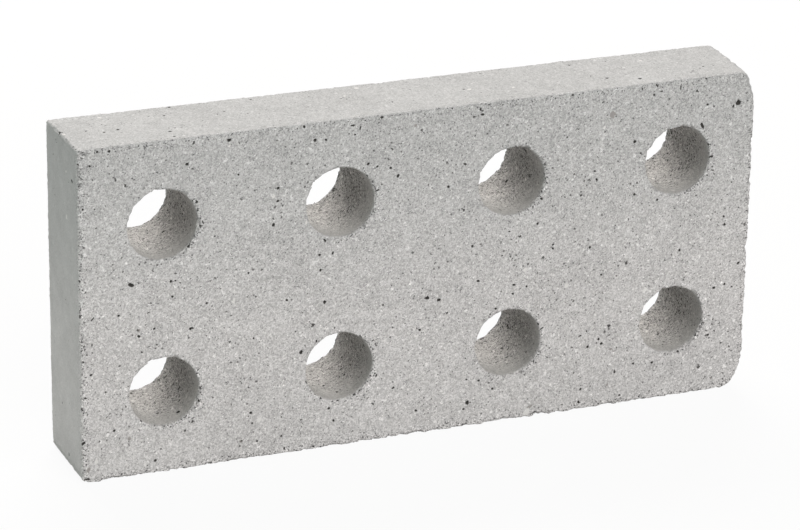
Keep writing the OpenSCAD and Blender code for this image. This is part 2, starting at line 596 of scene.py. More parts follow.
@dataclass
class BrickSlip:
    """The fired block: its sizes in millimetres, its wear, and the methods that make and dress it.

    Attributes:
        thickness: from the front face to the back face.
        outline: the slab's outline and its worn corners.
        cells: the holes, and the slab round each.
        wear: wear of the arrises of both faces.
        rim_wear: wear of the holes' rims.
        rim_lean: the side on which the rims crumble most.
        rim_lean_shares: wear of a rim away from that side, and how much more there is on it.
        rim_points: points round a rim.
        rings: rings between a rim and its cell's border.
        layers: cuts through the thickness.
        face_spacing: longest edge of the mesh.
        edge_spacing: longest edge near arrises and rims.
        edge_band: how far from them that holds.
        mark_spacing: longest edge at the smallest marks.
        mark_steps: edges across the half width of a larger mark.
        mark_margin: how far round a mark its fine mesh goes, as a share of its reach.
        growth_share: how fast the edges grow away from detail.
        split_share: how much longer than wanted an edge is before it is halved.
        passes: the most times that edges are halved.
        side_blend: distance over which the wear of two sides blends.
        end_grain: how sandy the ends are, where the large faces are 1.
        edge_grain: how sandy the top and the bottom are.
        bore_grain: how sandy a bore is near the front, and further in.
        bore_roof: share of a bore's roughness half way up, and how much more there is at its top.
        bore_chafe: how chafed the rough part of a bore is.
        bore_pits: pits in each bore.
        bore_smooth: how far in a bore's smooth mouth goes.
        bore_rough: how far in a bore is at its roughest.
        bore_mouth: how far in a bore has its own colour.
        chafe_reach: how far from an arris the skin is chafed.
        arris_chafe: how chafed it is there, as a share of the crumbling.
        rim_chafe: how chafed a rim is where it crumbles most.
        rim_reach: how far from a rim the skin is chafed.
        tears: tears at each rim.
        tear_gap: nearest and furthest place of a tear's middle from the bore's wall.
        tear_spread: how widely tears lie about the side that crumbles, in radians.
        bite_spread: how widely bites do.
        rim_bites: bites at each rim of a face.
        arris_bites: bites along each front arris.
        back_strewn: marks strewn over the back.
        side_strewn: marks strewn over the other sides.
        marks: every mark, once they are chosen.
    """

    thickness: float
    outline: SlabOutline
    cells: tuple[HoleCell, ...]
    wear: dict[Face, dict[Side, EdgeWear]]
    rim_wear: EdgeWear
    rim_lean: Vector
    rim_lean_shares: tuple[float, float] = (0.2, 0.8)
    rim_points: int = 64
    rings: int = 9
    layers: int = 13
    face_spacing: float = 2.6
    edge_spacing: float = 0.6
    edge_band: float = 1.6
    mark_spacing: float = 0.22
    mark_steps: float = 3.0
    mark_margin: float = 1.3
    growth_share: float = 0.8
    split_share: float = 1.5
    passes: int = 5
    side_blend: float = 3.0
    end_grain: float = 0.25
    edge_grain: float = 0.6
    bore_grain: tuple[float, float] = (0.55, 1.75)
    bore_roof: tuple[float, float] = (0.8, 0.2)
    bore_chafe: float = 0.5
    bore_pits: int = 8
    bore_smooth: float = 2.5
    bore_rough: float = 12.0
    bore_mouth: float = 2.0
    chafe_reach: float = 2.6
    arris_chafe: float = 0.7
    rim_chafe: float = 1.4
    rim_reach: float = 1.6
    tears: int = 2
    tear_gap: tuple[float, float] = (0.1, 1.4)
    tear_spread: float = 0.8
    bite_spread: float = 1.6
    rim_bites: dict[Face, int] = field(default_factory=lambda: {Face.FRONT: 11, Face.BACK: 4})
    arris_bites: dict[Side, int] = field(
        default_factory=lambda: {Side.LEFT: 26, Side.BOTTOM: 30, Side.RIGHT: 10, Side.TOP: 12}
    )
    back_strewn: int = 90
    side_strewn: dict[Side, int] = field(
        default_factory=lambda: {Side.TOP: 20, Side.BOTTOM: 16, Side.LEFT: 6, Side.RIGHT: 8}
    )
    marks: list[Mark] = field(default_factory=list)

    @property
    def half(self) -> float:
        """Half the thickness."""
        return self.thickness / 2

    @classmethod
    def from_frame(cls) -> "BrickSlip":
        """Reads the slab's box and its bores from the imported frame."""
        low, high = (Vector(corner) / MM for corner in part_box(NODE))
        spans = {Side.LEFT: low.x, Side.RIGHT: high.x, Side.BOTTOM: low.z, Side.TOP: high.z}
        # Reach along and up, chips, power at the back and softness
        corners = {
            (Side.LEFT, Side.TOP): (0.9, 0.8, 1.4, ELLIPSE_POWER, 0.0),
            (Side.LEFT, Side.BOTTOM): (2.4, 1.8, 0.8, ELLIPSE_POWER, 0.0),
            (Side.RIGHT, Side.TOP): (5.5, 11.0, 0.7, 8.0, 2.2),
            (Side.RIGHT, Side.BOTTOM): (7.5, 13.5, 0.15, ELLIPSE_POWER, 0.0),
        }
        arcs = []
        for (end, edge), (along, up, chips, back_power, soft) in corners.items():
            reach = (along * OUTWARD[end].x, up * OUTWARD[edge].z)
            centre = (spans[end] - reach[0], spans[edge] - reach[1])
            arcs.append(CornerArc(centre, reach, chips, back_power, soft))
        wear = {
            Face.FRONT: {
                Side.LEFT: EdgeWear(0.50, 1.90),
                Side.RIGHT: EdgeWear(0.80, 1.40, 0.2),
                Side.BOTTOM: EdgeWear(0.45, 1.40, 0.8),
                Side.TOP: EdgeWear(0.30, 0.60),
            },
            Face.BACK: {
                Side.LEFT: EdgeWear(0.40, 0.25),
                Side.RIGHT: EdgeWear(0.80, 0.90),
                Side.BOTTOM: EdgeWear(0.45, 0.90, 0.3),
                Side.TOP: EdgeWear(0.40, 0.50),
            },
        }
        bores = [mount for mount in frame["record"]["mounts"] if mount["kind"] == "bore"]
        return cls(
            thickness=high.y - low.y,
            outline=SlabOutline(spans, tuple(arcs), (high.y - low.y) / 2),
            cells=cls._cells(bores, spans),
            wear=wear,
            rim_wear=EdgeWear(0.35, 1.00),
            rim_lean=Vector((0.9, 0.0, -0.4)).normalized(),
        )

    @staticmethod
    def _cells(bores: list[dict], spans: dict[Side, float]) -> tuple[HoleCell, ...]:
        """Shares the slab out among its holes, half way between neighbours.

        Args:
            bores: the record's bore mounts.
            spans: where each side of the slab lies.

        Returns:
            One cell for each hole.
        """
        columns = sorted({round(bore["pos_m"][0] / MM, 3) for bore in bores})
        rows = sorted({round(bore["pos_m"][2] / MM, 3) for bore in bores})

        def borders(axes: list[float], first: float, last: float) -> list[tuple[float, float]]:
            """Pairs the borders on the two sides of each axis."""
            middles = [(near + far) / 2 for near, far in zip(axes, axes[1:])]
            return list(zip([first, *middles], [*middles, last]))

        across = borders(columns, spans[Side.LEFT], spans[Side.RIGHT])
        up = borders(rows, spans[Side.BOTTOM], spans[Side.TOP])
        radius = bores[0]["dims"]["r_mm"]
        return tuple(
            HoleCell(x, z, radius, width, rise)
            for x, width in zip(columns, across)
            for z, rise in zip(rows, up)
        )

    def build(self) -> bpy.types.Object:
        """Makes the worn block and gives its object."""
        shape = bmesh.new()
        for name in ("wall", "bore", "inside", "chafe", "grain", *(kind.value for kind in MarkKind)):
            shape.verts.layers.float.new(name)
        self._choose_marks()
        for cell in self.cells:
            self._add_cell(shape, cell)
        bmesh.ops.remove_doubles(shape, verts=shape.verts, dist=WELD)
        self._thicken(shape)
        self._refine(shape)
        self._grade(shape)
        self._ease(shape)
        self._weather(shape)
        self._press_marks(shape)
        floor = self.outline.spans[Side.BOTTOM]
        for vert in shape.verts:
            vert.co.z = max(vert.co.z, floor)
        bmesh.ops.scale(shape, vec=(MM, MM, MM), verts=shape.verts)
        bmesh.ops.recalc_face_normals(shape, faces=shape.faces)
        for face in shape.faces:
            face.smooth = True
        mesh = bpy.data.meshes.new("slip_body")
        shape.to_mesh(mesh)
        shape.free()
        piece = bpy.data.objects.new("slip_body", mesh)
        bpy.context.scene.collection.objects.link(piece)
        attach(piece, "root")
        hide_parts(NODE)
        return piece

    def _choose_marks(self) -> None:
        """Places the marks of the front and the top that have places of their own, then the seeded ones."""
        dice = random.Random(SEED)
        spans = self.outline.spans
        left, bottom, top = spans[Side.LEFT], spans[Side.BOTTOM], spans[Side.TOP]
        for kind, marks in FRONT_MARKS.items():
            for mark in marks:
                place = Vector((left + mark.from_left, -self.half, bottom + mark.from_bottom))
                along = face_way(math.radians(mark.tilt))
                depth = DEPTH_SHARES[kind] * mark.radius
                self.marks.append(Mark(place, mark.radius, depth, along, mark.stretch, kind))
        for from_left, from_bottom in SMALL_PORES:
            place = Vector((left + from_left, -self.half, bottom + from_bottom))
            along = Vector((dice.uniform(-1.0, 1.0), 0.0, dice.uniform(-1.0, 1.0))).normalized()
            self.marks.append(SMALL_PORE.draw(dice, place, along))
        for from_left, from_front, radius in TOP_PORES:
            place = Vector((left + from_left, from_front - self.half, top))
            depth = DEPTH_SHARES[MarkKind.PORE] * radius
            self.marks.append(Mark(place, radius, depth, LENGTHWISE, TOP_PORE_STRETCH, MarkKind.PORE))
        self._tear_rims(dice)
        self._pit_bores(dice)
        self._bite_arrises(dice)
        self._strew(dice)

    def _tear_rims(self, dice: random.Random) -> None:
        """Opens tears that run out from each rim and bites along it, most of them where it crumbles.

        Args:
            dice: the source of the seeded draws.
        """
        lean = math.atan2(self.rim_lean.z, self.rim_lean.x)
        for cell in self.cells:
            for face in Face:
                middle = Vector((cell.x, face.value * self.half, cell.z))
                for _ in range(self.tears):
                    out = face_way(dice.gauss(lean, self.tear_spread))
                    place = middle + out * (cell.radius + dice.uniform(*self.tear_gap))
                    self.marks.append(TEAR.draw(dice, place, out))
                for _ in range(self.rim_bites[face]):
                    out = face_way(dice.gauss(lean, self.bite_spread))
                    place = middle + out * cell.radius
                    self.marks.append(RIM_BITE.draw(dice, place, out.cross(THROUGH)))

    def _pit_bores(self, dice: random.Random) -> None:
        """Opens pits in the rough part of each bore's wall.

        Args:
            dice: the source of the seeded draws.
        """
        for cell in self.cells:
            for _ in range(self.bore_pits):
                out = face_way(dice.uniform(0.0, 2.0 * math.pi))
                y = dice.uniform(self.bore_smooth - self.half, self.half)
                place = Vector((cell.x, y, cell.z)) + cell.radius * out
                self.marks.append(BORE_PIT.draw(dice, place, out.cross(THROUGH)))

    def _bite_arrises(self, dice: random.Random) -> None:
        """Breaks small bites out of the front arrises.

        Args:
            dice: the source of the seeded draws.
        """
        spans = self.outline.spans
        for side, count in self.arris_bites.items():
            for _ in range(count):
                x = dice.uniform(spans[Side.LEFT], spans[Side.RIGHT])
                z = dice.uniform(spans[Side.BOTTOM], spans[Side.TOP])
                if side in (Side.LEFT, Side.RIGHT):
                    x, along = spans[side], UPRIGHT
                else:
                    z, along = spans[side], LENGTHWISE
                self.marks.append(ARRIS_BITE.draw(dice, Vector((x, -self.half, z)), along))

    def _strew(self, dice: random.Random) -> None:
        """Strews marks over every face but the front.

        Args:
            dice: the source of the seeded draws.
        """
        spans = self.outline.spans
        low = Vector((spans[Side.LEFT], -self.half, spans[Side.BOTTOM]))
        high = Vector((spans[Side.RIGHT], self.half, spans[Side.TOP]))
        self._strew_face(dice, self.back_strewn, Vector((low.x, self.half, low.z)), high)
        for side, count in self.side_strewn.items():
            first, last = low.copy(), high.copy()
            if side in (Side.LEFT, Side.RIGHT):
                first.x = last.x = spans[side]
            else:
                first.z = last.z = spans[side]
            self._strew_face(dice, count, first, last)

    def _strew_face(self, dice: random.Random, count: int, low: Vector, high: Vector) -> None:
        """Strews pores, and a few pale grains, over a flat box of places.

        Args:
            dice: the source of the seeded draws.
            count: how many marks there are.
            low: the box's lowest corner.
            high: its highest corner.
        """
        for index in range(count):
            place = Vector(dice.uniform(first, last) for first, last in zip(low, high))
            along = Vector(dice.uniform(-1.0, 1.0) for _ in range(3)).normalized()
            radius = STREWN_LEAST + STREWN_SPREAD * dice.random() ** STREWN_RARITY
            depth = radius * dice.uniform(*STREWN_DEPTH)
            kind = MarkKind.PORE
            if index % HANDFUL < PALE_IN_HANDFUL:
                radius = PALE_LEAST + PALE_GROWTH * radius
                depth, kind = PALE_DEPTH, MarkKind.PALE_GRAIN
            self.marks.append(Mark(place, radius, depth, along, dice.uniform(*STREWN_STRETCH), kind))

    def _add_cell(self, shape: bmesh.types.BMesh, cell: HoleCell) -> None:
        """Adds the front sheet of one cell: rings from the hole's rim out to the cell's border.

        Args:
            shape: the mesh that gets the sheet.
            cell: the hole and its rectangle.
        """
        wall = shape.verts.layers.float["wall"]
        bore = shape.verts.layers.float["bore"]
        turn = Matrix.Rotation(math.pi / 2, 4, "X")
        place = Matrix.Translation((cell.x, -self.half, cell.z)) @ turn
        circle = bmesh.ops.create_circle(shape, segments=self.rim_points, radius=cell.radius, matrix=place)
        rim = circle["verts"]
        edges = list(dict.fromkeys(edge for vert in rim for edge in vert.link_edges))
        for vert in rim:
            vert[bore] = 1.0
        outer = bmesh.ops.extrude_edge_only(shape, edges=edges)["geom"]
        outer = [part for part in outer if isinstance(part, bmesh.types.BMVert)]
        for vert in outer:
            vert[bore] = 0.0
            vert.co.x, vert.co.z = cell.border(vert.co.x, vert.co.z)
            vert[wall] = float(min(self.outline.distances(vert.co.x, vert.co.z).values()) < WELD)
            if vert[wall]:
                vert.co.x, vert.co.z = self.outline.settle(vert.co)
        inner = set(rim)
        spokes = [edge for vert in outer for edge in vert.link_edges if edge.other_vert(vert) in inner]
        bmesh.ops.subdivide_edges(shape, edges=spokes, cuts=self.rings)

    def _thicken(self, shape: bmesh.types.BMesh) -> None:
        """Draws the sheet out to the slab's thickness, with walls round the outline and in the holes."""
        made = bmesh.ops.extrude_face_region(shape, geom=shape.faces[:])["geom"]
        moved = [part for part in made if isinstance(part, bmesh.types.BMVert)]
        bmesh.ops.translate(shape, verts=moved, vec=(0.0, self.thickness, 0.0))
        through = [edge for edge in shape.edges if abs(edge.verts[0].co.y - edge.verts[1].co.y) > WELD]
        bmesh.ops.subdivide_edges(shape, edges=through, cuts=self.layers)
        bmesh.ops.recalc_face_normals(shape, faces=shape.faces)

    def _nearest_cell(self, x: float, z: float) -> HoleCell:
        """Gives the cell whose hole lies nearest to a point."""
        return min(self.cells, key=lambda cell: cell.gap(x, z))

    def _spacing(self, point: Vector, places: KDTree) -> float:
        """Gives the spacing that the mesh needs at a point.

        Args:
            point: a point of the slab's surface.
            places: the marks' places.

        Returns:
            The longest edge wanted there, in millimetres.
        """
        depth = self.half - abs(point.y)
        inset, _ = self.outline.inset(point)
        gap = self._nearest_cell(point.x, point.z).gap(point.x, point.z)
        away = min(math.hypot(max(inset, 0.0), depth), math.hypot(max(gap, 0.0), depth))
        spacing = self.edge_spacing + self.growth_share * max(away - self.edge_band, 0.0)
        if inset < self.edge_band:
            corners = (arc.spacing(point.x, point.z, self.growth_share) for arc in self.outline.arcs)
            spacing = min(spacing, *corners)
        _, index, distance = places.find(point)
        mark = self.marks[index]
        near_mark = max(self.mark_spacing, mark.radius / self.mark_steps)
        near_mark += self.growth_share * max(distance - self.mark_margin * mark.reach, 0.0)
        return min(spacing, near_mark, self.face_spacing)

    def _refine(self, shape: bmesh.types.BMesh) -> None:
        """Halves every edge that is too long for the detail near it, pass by pass."""
        places = KDTree(len(self.marks))
        for index, mark in enumerate(self.marks):
            places.insert(mark.place, index)
        places.balance()
        for _ in range(self.passes):
            long_edges = []
            for edge in shape.edges:
                first, second = (vert.co for vert in edge.verts)
                if edge.calc_length() > self.split_share * self._spacing((first + second) / 2, places):
                    long_edges.append(edge)
            if not long_edges:
                break
            bmesh.ops.subdivide_edges(
                shape, edges=long_edges, cuts=1, use_grid_fill=True, use_single_edge=True,
                quad_corner_type="INNER_VERT",
            )
            bmesh.ops.triangulate(shape, faces=[face for face in shape.faces if len(face.verts) > 4])
            self._settle(shape)

    def _settle(self, shape: bmesh.types.BMesh) -> None:
        """Puts the walls' new points on the true outline and the true bores."""
        wall = shape.verts.layers.float["wall"]
        bore = shape.verts.layers.float["bore"]
        for vert in shape.verts:
            if vert[wall] > WHOLE:
                vert.co.x, vert.co.z = self.outline.settle(vert.co)
            elif vert[bore] > WHOLE:
                cell = self._nearest_cell(vert.co.x, vert.co.z)
                out = Vector((vert.co.x - cell.x, 0.0, vert.co.z - cell.z)).normalized()
                vert.co.x, vert.co.z = cell.x + cell.radius * out.x, cell.z + cell.radius * out.z

    def _grade(self, shape: bmesh.types.BMesh) -> None:
        """Notes how sandy each point's skin is, and how far inside a bore and how chafed there it is."""
        layers = shape.verts.layers.float
        names = ("wall", "bore", "inside", "grain", "chafe")
        wall, bore, inside, grain, chafe = (layers[name] for name in names)
        for vert in shape.verts:
            vert[grain] = 1.0
            if vert[wall] > WHOLE:
                _, outward = self.outline.inset(vert.co)
                vert[grain] = self.end_grain + (self.edge_grain - self.end_grain) * abs(outward.z)
            elif vert[bore] > WHOLE:
                depth = self.half - abs(vert.co.y)
                vert[inside] = min(depth / self.bore_mouth, 1.0)
                from_front = vert.co.y + self.half
                share = (from_front - self.bore_smooth) / (self.bore_rough - self.bore_smooth)
                cell = self._nearest_cell(vert.co.x, vert.co.z)
                middle, rise = self.bore_roof
                share = min(max(share, 0.0), 1.0) * (middle + rise * (vert.co.z - cell.z) / cell.radius)
                near, far = self.bore_grain
                vert[grain] = near + (far - near) * share
                vert[chafe] = self.bore_chafe * share

    def _wear_at(self, foot: Vector) -> EdgeWear:
        """Blends the wear of the sides near a point of the outline."""
        sides = self.wear[Face(math.copysign(1.0, foot.y))]
        total = radius = crumble = burr = 0.0
        for side, distance in self.outline.distances(foot.x, foot.z).items():
            weight = math.exp(-max(distance, 0.0) / self.side_blend)
            total += weight
            radius += weight * sides[side].radius
            crumble += weight * sides[side].crumble
            burr += weight * sides[side].burr
        corner, arc = self.outline.corner_at(foot.x, foot.z)
        crumble *= 1.0 + corner * (arc.chips - 1.0)
        soft = corner * arc.soft if foot.y < 0.0 else 0.0
        return EdgeWear(radius / total + soft, crumble / total, burr / total)

    def _ease(self, shape: bmesh.types.BMesh) -> None:
        """Rounds the arrises and the holes' rims, each by its own wear, and notes how chafed they are."""
        layers = shape.verts.layers.float
        wall, bore, worn, chafe = (layers[name] for name in ("wall", "bore", "wear", "chafe"))
        least, more = self.rim_lean_shares
        half = self.half
        for vert in shape.verts:
            x, y, z = vert.co
            depth = half - abs(y)
            if depth > WELD and vert[wall] < WHOLE and vert[bore] < WHOLE:
                continue
            facing = math.copysign(1.0, y)
            cell = self._nearest_cell(x, z)
            gap = cell.gap(x, z)
            inset, outward = self.outline.inset(vert.co)
            at_rim = gap < inset
            inside = max(gap if at_rim else inset, 0.0)
            inward = Vector((x - cell.x, 0.0, z - cell.z)).normalized() if at_rim else -outward
            foot = vert.co - inward * inside
            foot.y = facing * half
            wear = self.rim_wear if at_rim else self._wear_at(foot)
            lean = least + more * max(inward.dot(self.rim_lean), 0.0) if at_rim else 1.0
            away = max(inside, depth) / (self.rim_reach if at_rim else self.chafe_reach)
            strength = self.rim_chafe * lean if at_rim else min(self.arris_chafe * wear.crumble, 1.0)
            vert[chafe] = max(vert[chafe], (1.0 - away) * strength)
            rounding = wear.rounding(foot, lean)
            if max(inside, depth) >= rounding:
                continue
            across, deep = inside - rounding, depth - rounding
            pull = rounding / math.hypot(across, deep)
            vert.co += inward * (rounding + across * pull - inside)
            vert.co.y -= facing * (rounding + deep * pull - depth)
            vert[worn] = 1.0 - max(inside, depth) / rounding
            vert.co.y += facing * wear.burr * max(BURR.at(foot), 0.0) * vert[worn]

    def _weather(self, shape: bmesh.types.BMesh) -> None:
        """Makes the faces slightly uneven, and the bores and the worn edges gritty."""
        layers = shape.verts.layers.float
        wall, bore, worn = layers["wall"], layers["bore"], layers["wear"]
        shape.normal_update()
        for vert in shape.verts:
            place = vert.co.copy()
            height = SWELL.at(place) + RIPPLE.at(place)
            if vert[bore] > WHOLE:
                height += BORE_RIPPLE.at(place)
            if vert[wall] > WHOLE:
                corner, arc = self.outline.corner_at(place.x, place.z)
                vert[worn] = max(vert[worn], CORNER_GRIT_SHARE * corner)
                height -= corner * arc.chips * max(CORNER_CHIPS.at(place), 0.0)
            if vert[worn] > 0.0:
                height += min(GRIT_RISE * vert[worn], 1.0) * (CRUMBS.at(place) + GRIT.at(place))
            vert.co += vert.normal * height

    def _press_marks(self, shape: bmesh.types.BMesh) -> None:
        """Sinks each pore and dent into the surface, lifts each large grain, and notes which is which."""
        layers = {kind: shape.verts.layers.float[kind.value] for kind in MarkKind}
        shape.verts.ensure_lookup_table()
        shape.normal_update()
        points = KDTree(len(shape.verts))
        for vert in shape.verts:
            points.insert(vert.co, vert.index)
        points.balance()
        for mark in self.marks:
            layer = layers[mark.kind]
            for place, index, _ in points.find_range(mark.place, MARK_SEARCH_SHARE * mark.reach):
                share = mark.share(place)
                if share < 1.0:
                    vert = shape.verts[index]
                    sink = (1.0 - share * share) ** SINK_POWER
                    vert.co -= vert.normal * (mark.depth * sink)
                    vert[layer] = max(vert[layer], sink)

    @staticmethod
    def dress(piece: bpy.types.Object, finish: bpy.types.Material) -> None:
        """Gives the block its finish."""
        piece.data.materials.append(finish)


@dataclass(frozen=True)
class Patches:
    """One layer of pattern in the body's tone.

    Attributes:
        size: width of one patch or grain, in millimetres.
        swing: how far the tone swings from the darkest to the palest.
        detail: how many finer layers its noise has.
    """

    size: float
    swing: float
    detail: float = 1.0


@dataclass(frozen=True)
class PoreSort:
    """One size of the small pores that are in the finish alone.

    Attributes:
        size: width of the cell that may hold one, in millimetres.
        closed: the cell's random number below which it holds none.
        widest: how fast the mouth widens above that number.
        dark: how dark the painted shade in the pore is.
    """

    size: float
    closed: float
    widest: float
    dark: float


class NodeDesk:
    """Adds and joins the nodes of one material."""

    def __init__(self, tree: bpy.types.NodeTree) -> None:
        """Takes a node tree and clears it."""
        self.tree = tree
        tree.nodes.clear()

    def add(self, kind: str, **settings: object) -> bpy.types.Node:
        """Adds a node and sets its named properties.

        Args:
            kind: the node's type.
            settings: the node's properties.

        Returns:
            The new node.
        """
        node = self.tree.nodes.new(kind)
        for name, value in settings.items():
            setattr(node, name, value)
        return node

    def feed(self, target: Socket, value: Union[Value, Colour]) -> None:
        """Links a socket to an input, or sets the input's own value."""
        if isinstance(value, bpy.types.NodeSocket):
            self.tree.links.new(value, target)
        else:
            target.default_value = value

    def maths(self, operation: str, first: Value, second: Value = 0.0, third: Value = 0.0) -> Socket:
        """Adds one step of arithmetic.

        Args:
            operation: the Math node's operation.
            first: its first number.
            second: its second number.
            third: its third number.

        Returns:
            The result's socket.
        """
        node = self.add("ShaderNodeMath", operation=operation)
        for target, value in zip(node.inputs, (first, second, third)):
            self.feed(target, value)
        return node.outputs[0]

    def total(self, parts: Iterable[Socket]) -> Socket:
        """Adds sockets up."""
        first, *rest = parts
        for part in rest:
            first = self.maths("ADD", first, part)
        return first

    def centred(self, value: Socket, height: float) -> Socket:
        """Turns a reading from 0 to 1 into one that swings by a height about zero."""
        return self.maths("MULTIPLY_ADD", value, height, -height / 2)

    def span(self, value: Value, low: float, high: float, start: float, end: float) -> Socket:
        """Carries a value smoothly from one range to another.

        Args:
            value: what is read.
            low: the reading at which the result is start.
            high: the reading at which it is end.
            start: the first result.
            end: the last result.

        Returns:
            The result's socket.
        """
        node = self.add("ShaderNodeMapRange", interpolation_type="SMOOTHSTEP")
        for target, number in zip(node.inputs, (value, low, high, start, end)):
            self.feed(target, number)
        return node.outputs[0]

    def mix(self, share: Value, first: object, second: object, blend: str = "MIX") -> Socket:
        """Mixes two colours.

        Args:
            share: how much of the second colour is taken.
            first: the first colour, as a socket or four numbers.
            second: the second colour.
            blend: the way they mix.

        Returns:
            The mixed colour's socket.
        """
        node = self.add("ShaderNodeMix", data_type="RGBA", blend_type=blend)
        self.feed(node.inputs[0], share)
        self.feed(node.inputs[6], first)
        self.feed(node.inputs[7], second)
        return node.outputs[2]

    def attribute(self, name: str) -> Socket:
        """Reads one of the mesh's own values."""
        return self.add("ShaderNodeAttribute", attribute_name=name).outputs["Fac"]

    def noise(self, place: Socket, size: float, detail: float = 2.0, rough: float = 0.5) -> Socket:
        """Adds smooth noise from 0 to 1.

        Args:
            place: where it is read, in millimetres.
            size: width of its lumps.
            detail: how many finer layers it has.
            rough: how strong each finer layer is beside the one before.

        Returns:
            The noise's socket.
        """
        node = self.add("ShaderNodeTexNoise")
        self.feed(node.inputs["Vector"], place)
        node.inputs["Scale"].default_value = 1.0 / size
        node.inputs["Detail"].default_value = detail
        node.inputs["Roughness"].default_value = rough
        return node.outputs[0]

    def patches(self, place: Socket, patches: Patches) -> Socket:
        """Adds soft patches that swing about zero."""
        return self.centred(self.noise(place, patches.size, patches.detail), patches.swing)

    def grains(self, place: Socket, size: float) -> tuple[Socket, Socket, Socket]:
        """Adds cells that stand for grains of a given size in millimetres.

        Args:
            place: where the pattern is read, in millimetres.
            size: width of a cell.

        Returns:
            Two random numbers for each grain, and the distance from its middle in millimetres.
        """
        node = self.add("ShaderNodeTexVoronoi")
        self.feed(node.inputs["Vector"], place)
        node.inputs["Scale"].default_value = 1.0 / size
        split = self.add("ShaderNodeSeparateColor")
        self.feed(split.inputs[0], node.outputs["Color"])
        return split.outputs[0], split.outputs[1], self.maths("MULTIPLY", node.outputs["Distance"], size)


